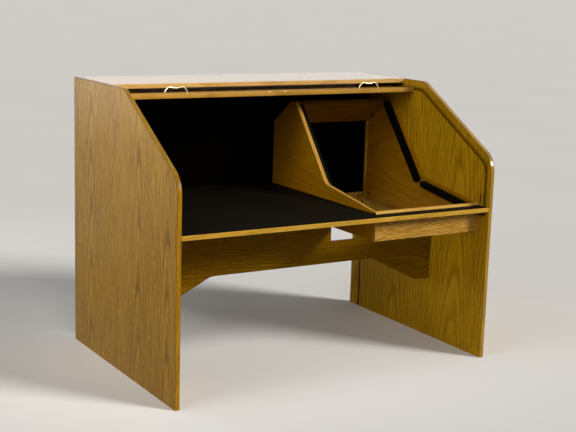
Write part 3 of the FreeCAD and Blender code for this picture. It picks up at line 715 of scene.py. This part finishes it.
# Lippings and rail with rounded arrises, and the bands on the partitions' front edges
for side, finish, well_finish in (("left", left_edge_oak, well_edge_oak),
                                  ("right", right_edge_oak, right_well_edge_oak)):
    node = f"{side}_edge_lipping"
    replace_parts(edge_band(f"{node}_rounded", SIDE_CORNERS, node, LIPPING, 0.0, finish, ARRIS), node)
    edge_band(f"well_{side}_partition_band", PARTITION_CORNERS, f"well_{side}_partition", BAND_SEAT, BANDING,
              well_finish, BANDING)
strip("top_front_lipping", lip_oak, "case", ARRIS, 0.0)
strip("worktop_front_lipping", work_lip_oak, "case", ARRIS, 0.0)
strip("tambour_lead_rail", rail_oak, "lead_rail", RAIL_ARRIS, RAIL_ARRIS)

# Pieces of the tambour
for side in ("left", "right"):
    pull(side)
for stretch in STRETCHES:
    canvas_sheet(stretch)

# Screws of the cleats, seen from inside and from below
inside_left = [along_face("worktop_left_cleat", 0, 1, 4), along_face("worktop_rear_cleat", 0, 1, 5),
               along_face("top_left_cleat", 0, 1, 4), along_face("stretcher_left_cleat", 0, 1, 3)]
inside_right = [along_face("worktop_right_cleat", 0, 0, 1), along_face("top_right_cleat", 0, 0, 4),
                along_face("stretcher_right_cleat", 0, 0, 3)]
under = [along_face("worktop_left_cleat", 2, 0, 3), along_face("worktop_rear_cleat", 2, 0, 4),
         along_face("worktop_right_cleat", 2, 0, 1), along_face("top_left_cleat", 2, 0, 3),
         along_face("top_right_cleat", 2, 0, 3)]
behind = [along_face("stretcher_left_cleat", 1, 1, 2), along_face("stretcher_right_cleat", 1, 1, 2)]
for name, places, facing in (("cleat_screws_left", inside_left, (1, 0, 0)),
                             ("cleat_screws_right", inside_right, (-1, 0, 0)),
                             ("cleat_screws_under", under, (0, 0, -1)),
                             ("cleat_screws_behind", behind, (0, 1, 0))):
    heads(name, np.concatenate(places), facing, SCREW_RADIUS, SCREW_RISE, cross_recess, plated, "case")

# Bolts over the holes of the well, and one under its hood
left_places = [(WELL_LEFT, *hole) for hole in PARTITION_HOLES]
right_places = [(WELL_RIGHT, *hole) for hole in PARTITION_HOLES]
for name, places, facing, radius, rise in (
        ("well_left_bolts", left_places, (1, 0, 0), BOLT_RADIUS, BOLT_RISE),
        ("well_right_bolts", right_places, (-1, 0, 0), BOLT_RADIUS, BOLT_RISE),
        ("well_rail_bolts", RAIL_HOLES, (0, -1, 0), BOLT_RADIUS, BOLT_RISE),
        ("hood_bolt", [HOOD_BOLT], HOOD_FACING, HOOD_BOLT_RADIUS, HOOD_BOLT_RISE)):
    heads(name, places, facing, radius, rise, hex_recess, black_steel, "case")

# Screws that hold the pulls from below, and two pins on the rail
rail_low, rail_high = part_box("tambour_lead_rail")
pull_reach = PULL_HALF[0][0]
pull_feet = [(0.5 * (low.x + high.x) + foot, 0.5 * (low.y + high.y), rail_low.z)
             for low, high in (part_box("left_pull"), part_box("right_pull"))
             for foot in (-pull_reach, pull_reach)]
heads("pull_screws", pull_feet, (0, 0, -1), SCREW_RADIUS, PULL_SCREW_RISE, cross_recess, plated, "lead_rail")
pin_places = [(across, PIN_DEPTH, rail_high.z) for across in PINS_ACROSS]
heads("rail_pins", pin_places, (0, 0, 1), PIN_RADIUS, PIN_RISE, no_recess, brass, "lead_rail")

# Stage: floor, light and camera
floor = bpy.data.objects.new("floor", bpy.data.meshes.new("floor"))
square = ((-1, -1), (1, -1), (1, 1), (-1, 1))
floor.data.from_pydata([(x * FLOOR_REACH, y * FLOOR_REACH, 0) for x, y in square], [], [(0, 1, 2, 3)])
scene.collection.objects.link(floor)
paper = Finish("floor_paper", Roughness=0.9, Specular_IOR_Level=0.1)
pale = paper.blend(paper.noise(paper.place, 2.0, 0.5, 0.6), *FLOOR_PALE)
paper.wire("Base Color", paper.blend(looked_at(paper.tree), FLOOR_BOUNCE, pale))
floor.data.materials.append(paper.material)

world = bpy.data.worlds.new("studio")
scene.world = world
world.use_nodes = True
tree = world.node_tree
sky = tree.nodes["Background"]
sky.inputs["Color"].default_value = (1.0, 0.985, 0.96, 1.0)
sky.inputs["Strength"].default_value = 0.05
seen = tree.nodes.new("ShaderNodeBackground")
seen.inputs["Color"].default_value = (0.86, 0.855, 0.845, 1.0)
mixed = tree.nodes.new("ShaderNodeMixShader")
tree.links.new(looked_at(tree), mixed.inputs[0])
tree.links.new(sky.outputs[0], mixed.inputs[1])
tree.links.new(seen.outputs[0], mixed.inputs[2])
tree.links.new(mixed.outputs[0], tree.nodes["World Output"].inputs["Surface"])


def sun(name, toward, strength, softness, colour):
    """A distant lamp that shines from a direction."""
    lamp = bpy.data.objects.new(name, bpy.data.lights.new(name, "SUN"))
    lamp.data.energy = strength
    lamp.data.angle = math.radians(softness)
    lamp.data.color = colour
    lamp.rotation_mode = "QUATERNION"
    lamp.rotation_quaternion = Vector(toward).to_track_quat("Z", "Y")
    scene.collection.objects.link(lamp)


def softbox(name, place, aim, side, radiance):
    """A square lamp that faces a spot: its power is pi times its area times its radiance."""
    lamp = bpy.data.objects.new(name, bpy.data.lights.new(name, "AREA"))
    lamp.data.size = side
    lamp.data.energy = math.pi * side ** 2 * radiance
    lamp.data.color = (1.0, 0.98, 0.95)
    toward = Vector(place) - Vector(aim)
    lamp.matrix_world = Matrix.Translation(place) @ toward.to_track_quat("Z", "Y").to_matrix().to_4x4()
    lamp.data.spread = math.radians(90.0)
    lamp.visible_camera = False
    scene.collection.objects.link(lamp)


sun("key", (0.593, -0.679, 0.47), 3.1, 18.0, (1.0, 0.97, 0.92))
sun("fill_left", (-0.93, -0.25, 0.30), 0.46, 40.0, (1.0, 0.97, 0.93))
sun("overhead", (0.1, -0.1, 1.0), 0.22, 70.0, (1.0, 0.99, 0.97))
sun("fill_front", (-0.22, -0.84, 0.46), 0.56, 28.0, (1.0, 0.97, 0.93))
softbox("upper_left", (-1.35, -0.4, 2.1), (-0.5, 0.1, 0.9), 0.9, 1.6)
softbox("rear_left", (-3.2, 4.2, 1.7), (-0.76, 0.0, 1.1), 2.4, 0.75)

back = Vector((math.sin(CAMERA_YAW) * math.cos(CAMERA_PITCH), -math.cos(CAMERA_YAW) * math.cos(CAMERA_PITCH),
               math.sin(CAMERA_PITCH)))
level = Vector((math.cos(CAMERA_YAW), math.sin(CAMERA_YAW), 0))
rising = back.cross(level)
right = level * math.cos(CAMERA_ROLL) - rising * math.sin(CAMERA_ROLL)
up = level * math.sin(CAMERA_ROLL) + rising * math.cos(CAMERA_ROLL)
camera = bpy.data.objects.new("camera", bpy.data.cameras.new("camera"))
camera.data.sensor_width = SENSOR
camera.data.sensor_fit = "HORIZONTAL"
camera.data.lens = FOCAL_PIXELS / PICTURE_WIDTH * SENSOR
turned = Matrix((right, up, back)).transposed().to_4x4()
camera.matrix_world = Matrix.Translation(CAMERA_PLACE) @ turned
scene.collection.objects.link(camera)
scene.camera = camera
scene.view_settings.view_transform = "Standard"
